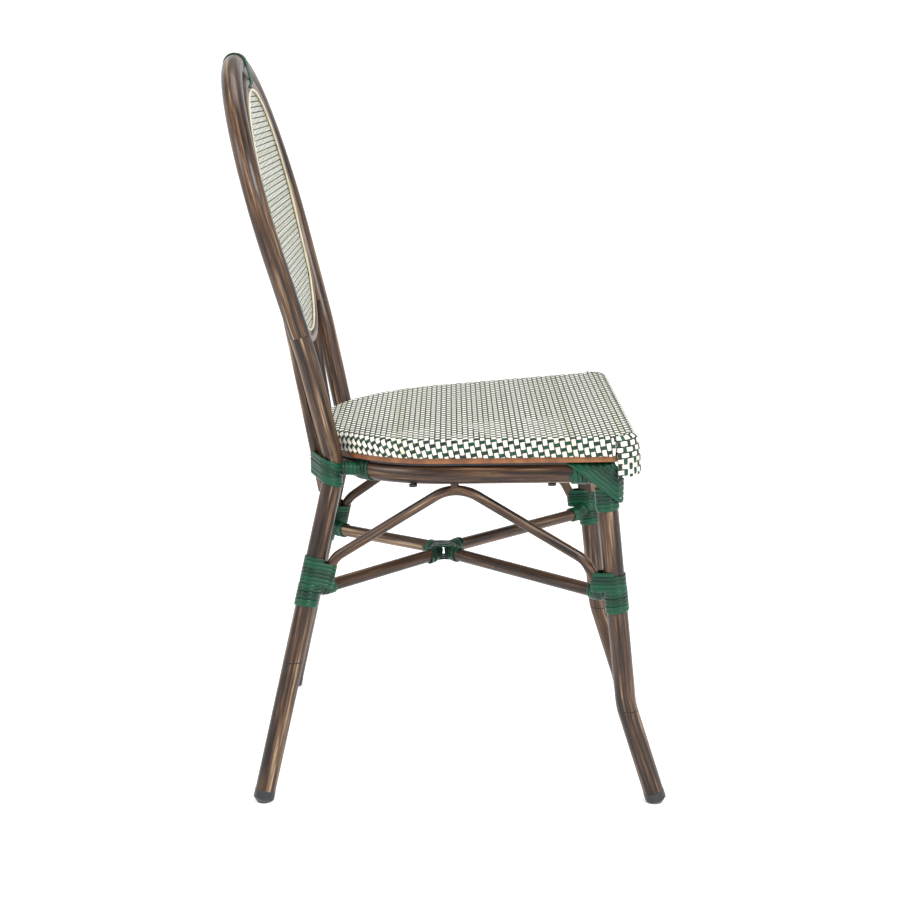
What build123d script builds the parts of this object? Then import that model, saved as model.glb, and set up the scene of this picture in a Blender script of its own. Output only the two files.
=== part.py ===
"""Stacking bistro chair: bent aluminium tubes bound with flat cord, woven seat and back.

Millimetres, +Z up, the sitter faces -Y, origin on the floor under the middle of the outer size.
Along the chair, "forward" is measured from a datum plane near mid-depth (see at()).
"""
from build123d import *
from math import sin, cos, tan, radians, degrees, acos, atan
import os

# ---- driving sizes -------------------------------------------------------------------------
TUBE_R = 12.5            # legs, outer hoop and seat ring
TUBE_WALL = 1.5
BOW_R = 8.0              # the two stretcher bows
BRACE_R = 6.2            # arched side braces
INNER_R = 6.5            # inner hoop that carries the woven back
THIN_WALL = 1.2
FIT = 0.3                # gap kept between a plug and its bore

Y_DATUM = 7.36           # datum plane to the middle of the chair's depth

# rear leg: splice with the hoop, small bend, knee behind the seat, foot
SPLICE = (154.0, -178.0, 569.0)
LEG_TOP_BEND = (146.7, -170.0, 540.0)
KNEE = (122.0, -139.5, 402.0)
REAR_FOOT = (203.5, -229.2, 0.0)
KNEE_BEND_R = 100.0

# front leg: under the seat ring, bend above the foot, foot
FRONT_TOP = (204.5, 181.6, 410.0)
FRONT_BEND = (203.5, 213.0, 125.0)
FRONT_FOOT = (203.5, 253.4, 0.0)
FRONT_BEND_R = 90.0

# outer hoop: an arc with tangent sides, lying in a plane that leans back
HOOP_R = 183.0
HOOP_CENTRE_Z = 705.0
HOOP_LEAN = degrees(atan(0.275))
HOOP_TAPER = 13.7        # how far the sides turn inward below the arc, degrees

# inner hoop: the same kind of arc, its lower ends steeper than the arc's own plane
INNER_HOOP_R = 157.0
INNER_CENTRE = (0.0, -215.0, 708.0)
INNER_LEAN = degrees(atan(0.243))
INNER_TAPER = 9.4
INNER_TAIL = (101.5, -156.5, 368.0)

# woven back, a flat panel between the inner hoop and the bottom rail
PANEL_LEAN = degrees(atan(0.2327))
PANEL_CENTRE = (0.0, -214.0, 708.0)
PANEL_T = 3.0
PANEL_GAP = 9.2          # inner hoop's centre line to the panel's edge
BOTTOM_RAIL_Z = 543.0
RAIL_R = 5.5
WELT_R = 1.5

# seat: back arc, tapered sides, straight front, in a plane that rises to the front
SEAT_TILT = 3.0
SEAT_ARC_R = 190.6
SEAT_ARC_FORWARD = 22.6
SEAT_SIDE_ANGLE = 10.0
SEAT_FRONT = 222.0
SEAT_CORNER_R = 30.0
RING_Z = 405.5           # seat ring's centre at the datum plane
RING_INSET = 16.4
RING_FRONT = 183.0       # the ring's front run, set back behind the cover's deep front edge
RING_CORNER_R = 20.0
RIM_LOW = 15.0           # heights above the ring's centre line
RIM_HIGH = 21.5
SEAT_TOP = 44.5
WEAVE_T = 2.5
FRAME_R = 9.5
FRAME_LOW = RIM_HIGH + 0.2
APRON_LOW = -1.5
APRON_DEPTH = 27.0

# stretcher bows
STRETCHER_Z = 262.0
REAR_BOW_DROP = 10.0      # the rear bow meets its legs this far below its vertex
REAR_VERTEX = -1.0
FRONT_VERTEX = -13.5
VERTEX_R = 32.0

CORD_T = 2.0             # flat cord wound round the joints
SCREW_R = 2.4
SCREW_HEAD_R = 5.0

# feet
FOOT_LENGTH = 15.0
FOOT_CHAMFER = 6.5

os.makedirs("parts", exist_ok=True)


def at(x, forward, z):
    """A point given by its distance in front of the datum plane."""
    return Vector(x, -forward - Y_DATUM, z)


def save(part, name):
    part.label = name
    export_step(part, f"parts/{name}.step")
    print(f"{name:24s} {len(part.solids())} solids {part.volume:10.0f} mm3")


def bent_line(points, bends):
    """Straight runs between the points, each inner corner rounded with its bend radius."""
    start = points[0]
    for before, corner, after, radius in zip(points, points[1:], points[2:], bends):
        d0 = (corner - before).normalized()
        d1 = (after - corner).normalized()
        half = acos(max(-1.0, min(1.0, d0.dot(d1)))) / 2
        t0 = corner - d0 * (radius * tan(half))
        t1 = corner + d1 * (radius * tan(half))
        middle = corner + (d1 - d0).normalized() * (radius / cos(half) - radius)
        Line(start, t0)
        ThreePointArc(t0, middle, t1)
        start = t1
    Line(start, points[-1])


def tube(points, bends, radius, wall=0.0):
    """A round tube, or a solid bar when the wall is zero, along a bent line."""
    with BuildPart() as body:
        with BuildLine() as path:
            bent_line(points, bends)
        with BuildSketch(Plane(origin=path.wire() @ 0, z_dir=path.wire() % 0)):
            Circle(radius)
            if wall:
                Circle(radius - wall, mode=Mode.SUBTRACT)
        sweep()
    return body.part


def bar(start, end, radius):
    """A straight round bar from one point to another."""
    axis = end - start
    with BuildPart() as body:
        with BuildSketch(Plane(origin=start, z_dir=axis)):
            Circle(radius)
        extrude(amount=axis.length)
    return body.part


def leaning_plane(x, forward, z, lean):
    """A plane facing the sitter's back: its x is lateral, its y climbs and leans rearward."""
    a = radians(lean)
    normal = (0, -cos(a), sin(a))
    return Plane(origin=at(x, forward, z), x_dir=(1, 0, 0), z_dir=normal)


def hoop_forward(z):
    """How far forward the outer hoop's plane is at a height."""
    return SPLICE[1] - tan(radians(HOOP_LEAN)) * (z - SPLICE[2])


# ---- back hoops and legs -------------------------------------------------------------------
def make_outer_hoop(wall):
    plane = leaning_plane(0, hoop_forward(HOOP_CENTRE_Z), HOOP_CENTRE_Z, HOOP_LEAN)
    t = radians(HOOP_TAPER)
    side = (HOOP_R * cos(t), -HOOP_R * sin(t))
    low = (HOOP_CENTRE_Z - SPLICE[2] - FIT) / cos(radians(HOOP_LEAN))
    run = (low + side[1]) / cos(t)
    foot = (side[0] - run * sin(t), -low)
    with BuildPart() as body:
        with BuildLine(plane) as path:
            Line((-foot[0], foot[1]), (-side[0], side[1]))
            ThreePointArc((-side[0], side[1]), (0, HOOP_R), side)
            Line(side, foot)
        with BuildSketch(Plane(origin=path.wire() @ 0, z_dir=path.wire() % 0)):
            Circle(TUBE_R)
            if wall:
                Circle(TUBE_R - wall, mode=Mode.SUBTRACT)
        sweep()
    return body.part, path.wire() @ 1, path.wire() % 1


def make_inner_hoop(wall):
    plane = leaning_plane(*INNER_CENTRE, INNER_LEAN)
    t = radians(INNER_TAPER)
    side = (INNER_HOOP_R * cos(t), -INNER_HOOP_R * sin(t))
    join = (side[0] - 12 * sin(t), side[1] - 12 * cos(t))
    tops = [plane.from_local_coords((s * side[0], side[1], 0)) for s in (-1, 1)]
    joins = [plane.from_local_coords((s * join[0], join[1], 0)) for s in (-1, 1)]
    tails = [at(s * INNER_TAIL[0], INNER_TAIL[1], INNER_TAIL[2]) for s in (-1, 1)]
    crown = plane.from_local_coords((0, INNER_HOOP_R, 0))
    with BuildPart() as body:
        with BuildLine() as path:
            bent_line([tails[0], joins[0], tops[0]], [120.0])
            ThreePointArc(tops[0], crown, tops[1])
            bent_line([tops[1], joins[1], tails[1]], [120.0])
        with BuildSketch(Plane(origin=path.wire() @ 0, z_dir=path.wire() % 0)):
            Circle(INNER_R)
            if wall:
                Circle(INNER_R - wall, mode=Mode.SUBTRACT)
        sweep()
    return body.part


def rear_leg_points(side):
    return [at(side * p[0], p[1], p[2]) for p in (SPLICE, LEG_TOP_BEND, KNEE, REAR_FOOT)]


def front_leg_points(side):
    return [at(side * p[0], p[1], p[2]) for p in (FRONT_TOP, FRONT_BEND, FRONT_FOOT)]


def trim_to_foot(points):
    """Stops a leg short of the floor so that its foot cap fits below the cut end."""
    axis = (points[-1] - points[-2]).normalized()
    return points[:-1] + [points[-1] - axis * FOOT_LENGTH]


def make_rear_leg(side, wall):
    return tube(trim_to_foot(rear_leg_points(side)), [200.0, KNEE_BEND_R], TUBE_R, wall)


def make_front_leg(side, wall):
    return tube(trim_to_foot(front_leg_points(side)), [FRONT_BEND_R], TUBE_R, wall)


def make_foot(points):
    """A plastic plug: stem in the tube, round skirt below it, chamfered down to the floor."""
    axis = (points[-1] - points[-2]).normalized()
    end = points[-1] - axis * FOOT_LENGTH
    plug_r = TUBE_R - TUBE_WALL - FIT
    with BuildPart() as cap:
        with BuildSketch(Plane(origin=end - axis * 20, z_dir=axis)):
            Circle(plug_r)
        extrude(amount=20)
        with BuildSketch(Plane(origin=end, z_dir=axis)):
            Circle(TUBE_R + 0.3)
        extrude(amount=FOOT_LENGTH + 2.0)
        tip = cap.edges().sort_by(Axis.Z)[0]
        chamfer(tip, length=FOOT_CHAMFER)
        split(bisect_by=Plane.XY, keep=Keep.TOP)
    return cap.part


def make_spigot(side, hoop_end, hoop_dir):
    """The straight plug inside the splice between the hoop and a rear leg."""
    end = Vector(side * abs(hoop_end.X), hoop_end.Y, hoop_end.Z)
    up = Vector(side * abs(hoop_dir.X), abs(hoop_dir.Y), abs(hoop_dir.Z))
    return bar(end - up * 16, end + up * 40, TUBE_R - TUBE_WALL - FIT)


# ---- seat ----------------------------------------------------------------------------------
def seat_plane(height):
    """The seat's tilted plane, at a height above the ring's centre line: y points rearward."""
    a = radians(SEAT_TILT)
    normal = Vector(0, sin(a), cos(a))
    return Plane(origin=at(0, 0, RING_Z) + normal * height, x_dir=(1, 0, 0), z_dir=normal)


def seat_loop(inset, corner, plane=Plane.XY, front=None):
    """The seat's outline on a plane, moved inward by the inset; its front may be set apart."""
    a = radians(SEAT_SIDE_ANGLE)
    r = SEAT_ARC_R - inset
    centre = -SEAT_ARC_FORWARD
    front = -(front or SEAT_FRONT - inset)
    tangent = (r * cos(a), centre + r * sin(a))
    nose = (tangent[0] + (tangent[1] - front) * tan(a), front)
    flat = [(0, front), nose, tangent, (0, centre + r)]
    flat += [(-tangent[0], tangent[1]), (-nose[0], front)]
    middle, right, start, back, end, left = [plane.from_local_coords((*p, 0)) for p in flat]
    bent_line([middle, right, start], [corner])
    ThreePointArc(start, back, end)
    bent_line([end, left, middle], [corner])


def seat_ring_tube(height, inset, corner, radius, wall, front=None):
    """A closed tube that follows the seat's outline."""
    with BuildPart() as body:
        with BuildLine() as path:
            seat_loop(inset, corner, seat_plane(height), front)
        with BuildSketch(Plane(origin=path.wire() @ 0, z_dir=path.wire() % 0)):
            Circle(radius)
            if wall:
                Circle(radius - wall, mode=Mode.SUBTRACT)
        sweep()
    return body.part


def make_seat_ring(wall):
    return seat_ring_tube(0, RING_INSET, RING_CORNER_R, TUBE_R, wall, RING_FRONT)


def seat_slab(low, high, inset, corner, front=None):
    with BuildPart() as body:
        with BuildSketch(seat_plane(low)):
            with BuildLine():
                seat_loop(inset, corner, Plane.XY, front)
            make_face()
        extrude(amount=high - low)
    return body.part


def make_seat_rim():
    outer = seat_slab(RIM_LOW, RIM_HIGH, 3.0, 27.0)
    return outer - seat_slab(RIM_LOW - 1, RIM_HIGH + 1, 29.0, 8.0, RING_FRONT - TUBE_R)


def make_gasket():
    """The black foam strip squeezed between the ring's top and the base strip."""
    outer = seat_slab(TUBE_R - 1.5, RIM_LOW, RING_INSET - 7, RING_CORNER_R + 7, RING_FRONT + 7)
    inner = seat_slab(0, RIM_LOW + 1, RING_INSET + 7, RING_CORNER_R - 7, RING_FRONT - 7)
    return outer - inner


def make_seat_weave():
    """The woven cover: a thin shell over the seat frame, with a deeper apron over the front."""
    low = RIM_HIGH + 0.2
    with BuildPart() as body:
        with BuildSketch(seat_plane(low)):
            with BuildLine():
                seat_loop(0, SEAT_CORNER_R)
            make_face()
        extrude(amount=SEAT_TOP - low)
        top = body.faces().sort_by(Axis((0, 0, 0), seat_plane(0).z_dir))[-1]
        fillet(top.edges(), radius=8.5)
    with BuildPart() as hollow:
        add(seat_slab(low - 1, SEAT_TOP - WEAVE_T, WEAVE_T, SEAT_CORNER_R - WEAVE_T))
        top = hollow.faces().sort_by(Axis((0, 0, 0), seat_plane(0).z_dir))[-1]
        fillet(top.edges(), radius=8.5 - WEAVE_T)
    shell = body.part - hollow.part
    apron = seat_slab(APRON_LOW, low, 0, SEAT_CORNER_R)
    apron -= seat_slab(APRON_LOW - 1, low + 1, WEAVE_T, SEAT_CORNER_R - WEAVE_T)
    with BuildPart() as nose:
        with BuildSketch(seat_plane(APRON_LOW)):
            with Locations((0, -SEAT_FRONT + APRON_DEPTH / 2)):
                Rectangle(600, APRON_DEPTH)
        extrude(amount=low - APRON_LOW)
    return shell + (apron & nose.part)


def make_cross_bars(frame):
    """Flat bars across the seat frame, just under the weave, their ends coped to its tube."""
    bars = None
    for forward in (-95.0, -10.0, 80.0, 150.0):
        half = 160.0
        plane = seat_plane(SEAT_TOP - WEAVE_T - 3.6)
        with BuildPart() as piece:
            with BuildSketch(plane):
                with Locations((0, -forward)):
                    Rectangle(2 * half + 80, 22)
            extrude(amount=3.0)
        field = seat_slab(0, SEAT_TOP, WEAVE_T + 0.4 + FRAME_R, 18.0)
        solid = (piece.part & field) - frame
        bars = solid if bars is None else bars + solid
    return bars


def seat_side_point(forward, height):
    """A point on the ring's straight side, given how far forward it is."""
    a = radians(SEAT_SIDE_ANGLE)
    r = SEAT_ARC_R - RING_INSET
    tangent_y = -SEAT_ARC_FORWARD + r * sin(a)
    x = r * cos(a) + (tangent_y + forward) * tan(a)
    return x, seat_plane(height).from_local_coords((x, -forward, 0))


# ---- stretchers and braces -----------------------------------------------------------------
def rear_leg_at(side, z):
    f = (KNEE[2] - z) / KNEE[2]
    x = KNEE[0] + (REAR_FOOT[0] - KNEE[0]) * f
    forward = KNEE[1] + (REAR_FOOT[1] - KNEE[1]) * f
    return at(side * x, forward, z)


def front_leg_at(side, z):
    f = (FRONT_TOP[2] - z) / (FRONT_TOP[2] - FRONT_BEND[2])
    x = FRONT_TOP[0] + (FRONT_BEND[0] - FRONT_TOP[0]) * f
    forward = FRONT_TOP[1] + (FRONT_BEND[1] - FRONT_TOP[1]) * f
    return at(side * x, forward, z)


def bow_end(side, leg_at):
    drop = REAR_BOW_DROP if leg_at is rear_leg_at else 0.0
    return leg_at(side, STRETCHER_Z - drop)


def make_bow(leg_at, vertex, wall):
    """A bent bow from leg to leg, its rounded vertex near the middle of the chair."""
    points = [bow_end(-1, leg_at), at(0, vertex, STRETCHER_Z), bow_end(1, leg_at)]
    return tube(points, [VERTEX_R], BOW_R, wall)


def side_brace_points(side):
    return [
        at(side * 153.7, -150.0, 263.0),
        at(side * 147.7, -143.4, 292.7),
        at(side * 174.6, 7.3, 393.7),
        at(side * 203.5, 160.0, 307.5),
        at(side * 203.8, 176.5, 276.0),
    ]


def make_side_brace(side, wall):
    return tube(side_brace_points(side), [28.0, 50.0, 30.0], BRACE_R, wall)


# ---- woven back ----------------------------------------------------------------------------
def panel_plane():
    return leaning_plane(*PANEL_CENTRE, PANEL_LEAN)


def panel_height(z):
    """A height above the floor, measured along the panel from its arc's centre."""
    return (z - PANEL_CENTRE[2]) / cos(radians(PANEL_LEAN))


def panel_loop(gap):
    """The woven panel's outline: arc above, straight sides, curved bottom."""
    t = radians(INNER_TAPER)
    r = INNER_HOOP_R - gap
    side = Vector(r * cos(t), -r * sin(t))
    low = panel_height(612.0)
    run = (side.Y - low) / cos(t)
    corner = Vector(side.X - run * sin(t), low)
    bottom = Vector(0, panel_height(BOTTOM_RAIL_Z + gap))
    ThreePointArc(Vector(-side.X, side.Y), Vector(0, r), side)
    Line(side, corner)
    ThreePointArc(corner, bottom, Vector(-corner.X, corner.Y))
    Line(Vector(-corner.X, corner.Y), Vector(-side.X, side.Y))


def make_back_weave():
    with BuildPart() as body:
        with BuildSketch(panel_plane()) as face:
            with BuildLine():
                panel_loop(PANEL_GAP)
            make_face()
            fillet(face.vertices().sort_by(Axis.Y)[:2], radius=18)
        extrude(amount=PANEL_T / 2, both=True)
    return body.part


def make_back_welt():
    """The cord that finishes the panel's edge on the sitter's side."""
    lift = PANEL_T / 2 + WELT_R + 0.1
    with BuildPart() as body:
        with BuildSketch(panel_plane().offset(lift)) as face:
            with BuildLine():
                panel_loop(PANEL_GAP + WELT_R)
            make_face()
            fillet(face.vertices().sort_by(Axis.Y)[:2], radius=16)
        wire = face.sketch.faces()[0].outer_wire()
        body.pending_faces.clear()
        with BuildSketch(Plane(origin=wire @ 0, z_dir=wire % 0)):
            Circle(WELT_R)
        sweep(path=wire)
    return body.part


def make_bottom_rail(wall):
    """The bent tube under the woven panel, coped to the inner hoop at both ends."""
    with BuildPart() as body:
        with BuildLine(panel_plane()) as path:
            low = panel_height(BOTTOM_RAIL_Z)
            high = panel_height(613.0)
            ThreePointArc((-142.0, high), (0, low), (142.0, high))
        with BuildSketch(Plane(origin=path.wire() @ 0, z_dir=path.wire() % 0)):
            Circle(RAIL_R)
            if wall:
                Circle(RAIL_R - wall, mode=Mode.SUBTRACT)
        sweep()
    return body.part


# ---- bindings ------------------------------------------------------------------------------
def hull_band(plane, circles, length, grow):
    """A block whose section is the hull of several circles, each grown by the cord."""
    with BuildPart() as body:
        with BuildSketch(plane):
            for x, y, r in circles:
                with Locations((x, y)):
                    Circle(r + grow)
            make_hull()
        extrude(amount=length / 2, both=True)
    return body.part


def local_circle(plane, point, direction, radius):
    """Where a tube's centre line meets a plane, as a circle in that plane."""
    along = direction.normalized()
    reach = (plane.origin - point).dot(plane.z_dir) / along.dot(plane.z_dir)
    local = plane.to_local_coords(point + along * reach)
    return local.X, local.Y, radius


def coped(part, bars):
    """A part with every bar that passes through it taken away."""
    for cutter in bars:
        part = part - cutter
    return part


def largest(part):
    """The biggest solid left after coping."""
    return Part() + part.solids().sort_by(SortBy.VOLUME)[-1]


def crown(centre_x, forward, z, lean, radius):
    """The top of a hoop's centre line."""
    return leaning_plane(centre_x, forward, z, lean).from_local_coords((0, radius, 0))


def make_hoop_tie():
    """The strap that ties the inner hoop to the outer one at the top."""
    high = crown(0, hoop_forward(HOOP_CENTRE_Z), HOOP_CENTRE_Z, HOOP_LEAN, HOOP_R)
    low = crown(*INNER_CENTRE, INNER_LEAN, INNER_HOOP_R)
    circles = [(high.Y, high.Z, TUBE_R), (low.Y, low.Z, INNER_R)]
    return hull_band(Plane.YZ, circles, 22, CORD_T + 0.5) - hull_band(Plane.YZ, circles, 24, 0.5)


def ring_point(angle, height=0.0):
    """A point over the ring's back arc; the angle is measured from straight back."""
    a = radians(angle)
    r = SEAT_ARC_R - RING_INSET
    local = (r * sin(a), -SEAT_ARC_FORWARD + r * cos(a), 0)
    return seat_plane(height).from_local_coords(local)


def fixing_points(height):
    """Where the seat is screwed to the ring."""
    points = []
    for side in (-1, 1):
        points.append(ring_point(side * 22, height))
        for forward in (-45.0, 120.0):
            p = seat_side_point(forward, height)[1]
            points.append(Vector(side * abs(p.X), p.Y, p.Z))
        front = seat_plane(height).from_local_coords((side * 90.0, -RING_FRONT, 0))
        points.append(front)
    return points


def fixing_bars(low, high, radius):
    """Upright round bars at every seat fixing, as one part."""
    bars = Part()
    for start, end in zip(fixing_points(low), fixing_points(high)):
        bars += bar(start, end, radius)
    return bars


def make_seat_screws():
    """Screws from below, through the ring and the gasket, into the seat's base strip."""
    shanks = fixing_bars(-TUBE_R - 2.6, RIM_LOW + 4.5, SCREW_R - 0.2)
    return shanks + fixing_bars(-TUBE_R - 3.0, -TUBE_R - 0.2, SCREW_HEAD_R)


def knee_centre(side):
    """The centre of the rear leg at its knee, inside the bend."""
    a, b, c = rear_leg_points(side)[1:]
    d0 = (b - a).normalized()
    d1 = (c - b).normalized()
    half = acos(d0.dot(d1)) / 2
    return b + (d1 - d0).normalized() * (KNEE_BEND_R / cos(half) - KNEE_BEND_R)


def knee_ring_point(side):
    """The point of the ring nearest to a knee."""
    knee = seat_plane(0).to_local_coords(knee_centre(side))
    angle = atan(abs(knee.X) / (knee.Y + SEAT_ARC_FORWARD))
    return ring_point(side * degrees(angle)), ring_point(side * degrees(angle) + 1)


def make_knee_spacer(side):
    """A short bar between the ring and the knee, ending just clear of both tubes."""
    near = knee_ring_point(side)[0]
    far = knee_centre(side)
    axis = (far - near).normalized()
    return bar(near + axis * (TUBE_R + FIT), far - axis * (TUBE_R + FIT), 7.0)


def make_upper_rear_binding(side):
    """Cord round the knee and the inner hoop's tail, then round the seat ring beside them."""
    knee = knee_centre(side)
    level = Plane(origin=(0, 0, knee.Z + 6))
    tail = at(side * INNER_TAIL[0], INNER_TAIL[1], INNER_TAIL[2])
    above = tail + Vector(side * 0.17, 0.1687, 1.0)
    circles = [(knee.X, knee.Y, TUBE_R), local_circle(level, tail, above - tail, INNER_R)]
    near, beside = knee_ring_point(side)
    along = (beside - near).normalized()
    band = hull_band(level, circles, 42, CORD_T + 1.4)
    band += bar(near - along * 9, near + along * 9, TUBE_R + CORD_T)
    band += bar(near, knee, 7.0 + CORD_T)
    return band - seat_slab(RIM_LOW - 1, SEAT_TOP + 1, -FIT, SEAT_CORNER_R + FIT)


def make_upper_front_binding(side):
    """Cord round the seat ring's side, its front corner and the top of the front leg."""
    points = [seat_side_point(f, 0)[1] for f in (143.0, 172.0)]
    points = [Vector(side * abs(p.X), p.Y, p.Z) for p in points]
    band = bar(points[0], points[1], TUBE_R + CORD_T)
    corner = seat_plane(0).from_local_coords((side * 196.0, -RING_FRONT + 8.0, 0))
    band += bar(corner - Vector(0, 0, TUBE_R + 2), corner + Vector(0, 0, TUBE_R), TUBE_R + 6.0)
    return band + bar(front_leg_at(side, 371.0), front_leg_at(side, 411.0), TUBE_R + CORD_T)


def make_lower_binding(side, leg_at, brace, low, middle, high, vertex):
    """Cord round a leg, the brace end beside it and the end of the stretcher bow."""
    axis = (leg_at(side, high) - leg_at(side, low)).normalized()
    centre = (leg_at(side, middle) + leg_at(side, high)) * 0.5
    plane = Plane(origin=centre, z_dir=axis)
    circles = [
        (0, 0, TUBE_R),
        local_circle(plane, brace[0], brace[1] - brace[0], BRACE_R),
    ]
    length = (leg_at(side, high) - leg_at(side, middle)).length
    band = hull_band(plane, circles, length, CORD_T + 0.5)
    band += bar(leg_at(side, low), leg_at(side, middle + 1), TUBE_R + CORD_T)
    end = bow_end(side, leg_at)
    inward = (at(0, vertex, STRETCHER_Z) - end).normalized()
    return band + bar(end + inward * 8, end + inward * 38, BOW_R + CORD_T)


def low_cutters(side, leg_at, vertex):
    """The straight runs of leg and stretcher that pass through a lower binding."""
    end = bow_end(side, leg_at)
    inward = (at(0, vertex, STRETCHER_Z) - end).normalized()
    leg = bar(leg_at(side, 210.0), leg_at(side, 330.0), TUBE_R)
    return [leg, bar(end, end + inward * 60, BOW_R)]


def make_centre_binding():
    """Cord round both bows where their vertices meet."""
    circles = []
    for vertex, leg_at, turn in ((REAR_VERTEX, rear_leg_at, -1), (FRONT_VERTEX, front_leg_at, 1)):
        leg = leg_at(1, STRETCHER_Z)
        corner = at(0, vertex, STRETCHER_Z)
        half = atan(abs(leg.Y - corner.Y) / leg.X)
        centre = corner + Vector(0, -turn, 0) * (VERTEX_R / cos(half) - VERTEX_R)
        circles.append((centre.Y, centre.Z, BOW_R))
    return hull_band(Plane.YZ, circles, 22, CORD_T + 1.6)


def main():
    hoop, hoop_end, hoop_dir = make_outer_hoop(TUBE_WALL)
    save(hoop, "back_hoop")
    inner_bar = make_inner_hoop(0)
    save(make_inner_hoop(THIN_WALL), "inner_hoop")
    save(largest(make_bottom_rail(THIN_WALL) - inner_bar), "back_bottom_rail")
    save(make_back_weave(), "back_weave")
    save(make_back_welt(), "back_welt")
    save(make_hoop_tie(), "hoop_tie")

    ring_bar = make_seat_ring(0)
    holes = fixing_bars(-TUBE_R - 4, RIM_LOW + 5, SCREW_R + 0.1)
    save(make_seat_ring(TUBE_WALL) - holes, "seat_ring")
    save(largest(make_gasket() - ring_bar) - holes, "seat_gasket")
    save(make_seat_screws(), "seat_screws")
    save(make_seat_rim() - holes, "seat_rim")
    inset = WEAVE_T + FIT + FRAME_R
    frame = (FRAME_LOW + FRAME_R, inset, SEAT_CORNER_R - inset, FRAME_R)
    save(seat_ring_tube(*frame, THIN_WALL), "seat_frame")
    save(make_cross_bars(seat_ring_tube(*frame, 0)), "seat_cross_bars")
    save(make_seat_weave(), "seat_weave")

    rear_bow_bar = make_bow(rear_leg_at, REAR_VERTEX, 0)
    front_bow_bar = make_bow(front_leg_at, FRONT_VERTEX, 0)
    rear_bars = [make_rear_leg(side, 0) for side in (-1, 1)]
    front_bars = [make_front_leg(side, 0) for side in (-1, 1)]
    brace_bars = [make_side_brace(side, 0) for side in (-1, 1)]
    save(largest(coped(make_bow(rear_leg_at, REAR_VERTEX, THIN_WALL), rear_bars)), "rear_bow")
    save(largest(coped(make_bow(front_leg_at, FRONT_VERTEX, THIN_WALL), front_bars)), "front_bow")
    save(coped(make_centre_binding(), [rear_bow_bar, front_bow_bar]), "centre_binding")

    welds = Part()
    knee_spacers = Part()
    for side, brace in zip((-1, 1), brace_bars):
        crest = at(side * 174.6, 5.5, 386.0)
        welds += coped(bar(crest, crest + Vector(0, 0, 16), 5.0), [ring_bar, brace])
        knee_spacers += make_knee_spacer(side)
    save(welds, "brace_welds")
    save(knee_spacers, "knee_spacers")

    words = ("right", "left")
    for word, side, rear, front, brace in zip(words, (-1, 1), rear_bars, front_bars, brace_bars):
        save(make_rear_leg(side, TUBE_WALL), f"rear_leg_{word}")
        save(largest(make_front_leg(side, TUBE_WALL) - ring_bar), f"front_leg_{word}")
        save(make_foot(rear_leg_points(side)), f"rear_foot_{word}")
        save(make_foot(front_leg_points(side)), f"front_foot_{word}")
        save(make_spigot(side, hoop_end, hoop_dir), f"hoop_spigot_{word}")
        save(make_side_brace(side, THIN_WALL), f"side_brace_{word}")
        upper_rear = make_upper_rear_binding(side)
        inner = [rear, ring_bar, inner_bar, make_knee_spacer(side)]
        save(largest(coped(upper_rear, inner)), f"upper_rear_binding_{word}")
        upper_front = coped(make_upper_front_binding(side), [front, ring_bar])
        upper_front = upper_front - seat_slab(TUBE_R + 1, SEAT_TOP, -40, SEAT_CORNER_R)
        save(largest(upper_front), f"upper_front_binding_{word}")
        points = side_brace_points(side)
        low_rear = make_lower_binding(side, rear_leg_at, points[:2], 235, 260, 294, REAR_VERTEX)
        low_rear = coped(low_rear, low_cutters(side, rear_leg_at, REAR_VERTEX) + [brace])
        save(largest(low_rear), f"lower_rear_binding_{word}")
        ends = [points[4], points[3]]
        low_front = make_lower_binding(side, front_leg_at, ends, 244, 270, 295, FRONT_VERTEX)
        low_front = coped(low_front, low_cutters(side, front_leg_at, FRONT_VERTEX) + [brace])
        save(largest(low_front), f"lower_front_binding_{word}")


main()
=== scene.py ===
# %% [markdown]
# # A stacking bistro chair
# The frame is bent aluminium tube with a baked-on bamboo print. Flat cord binds the joints, and the
# seat and the back are woven from flat plastic strands. The tubes come from the CAD model and keep
# their shape. This script gives them their finish and makes what the CAD model only stands in for:
# the woven cloth and the turns of cord.

# %% Load the frame
from math import acos, atan, atan2, cos, pi, radians, sin, tan

import bmesh
import bpy
import numpy as np
from mathutils import Matrix, Vector


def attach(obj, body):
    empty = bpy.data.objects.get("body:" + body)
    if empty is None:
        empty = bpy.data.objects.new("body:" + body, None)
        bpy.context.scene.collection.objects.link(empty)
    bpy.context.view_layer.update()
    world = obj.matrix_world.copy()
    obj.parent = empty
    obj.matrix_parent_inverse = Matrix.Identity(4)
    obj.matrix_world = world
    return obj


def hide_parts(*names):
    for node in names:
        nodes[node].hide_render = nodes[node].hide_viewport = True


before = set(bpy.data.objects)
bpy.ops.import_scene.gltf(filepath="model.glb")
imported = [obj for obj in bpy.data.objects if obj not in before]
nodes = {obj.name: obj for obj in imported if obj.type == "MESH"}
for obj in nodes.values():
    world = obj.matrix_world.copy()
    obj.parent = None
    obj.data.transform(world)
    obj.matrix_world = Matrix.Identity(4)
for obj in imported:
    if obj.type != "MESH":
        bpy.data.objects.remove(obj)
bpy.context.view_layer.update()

MM = 0.001
DATUM = 7.36      # the CAD model measures "forward" from a plane this far behind the origin, in mm
SIDES = (("right", -1), ("left", 1))


def at(x, forward, z):
    """A point in metres from millimetres to the side, forward of the datum plane, and up."""
    return Vector((x, -forward - DATUM, z)) * MM


# %% [markdown]
# ## Helpers for materials
# Colours are picked as sRGB hex values and turned to linear light by one function. One function
# adds a node, sets it and links it, so a material reads as a list of nodes.

# %% Colour and node helpers
def linear(hex_code):
    """An sRGB hex colour as linear red, green, blue and alpha."""
    parts = [int(hex_code[i:i + 2], 16) / 255 for i in (0, 2, 4)]
    return [p / 12.92 if p <= 0.04045 else ((p + 0.055) / 1.055) ** 2.4 for p in parts] + [1.0]


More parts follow.
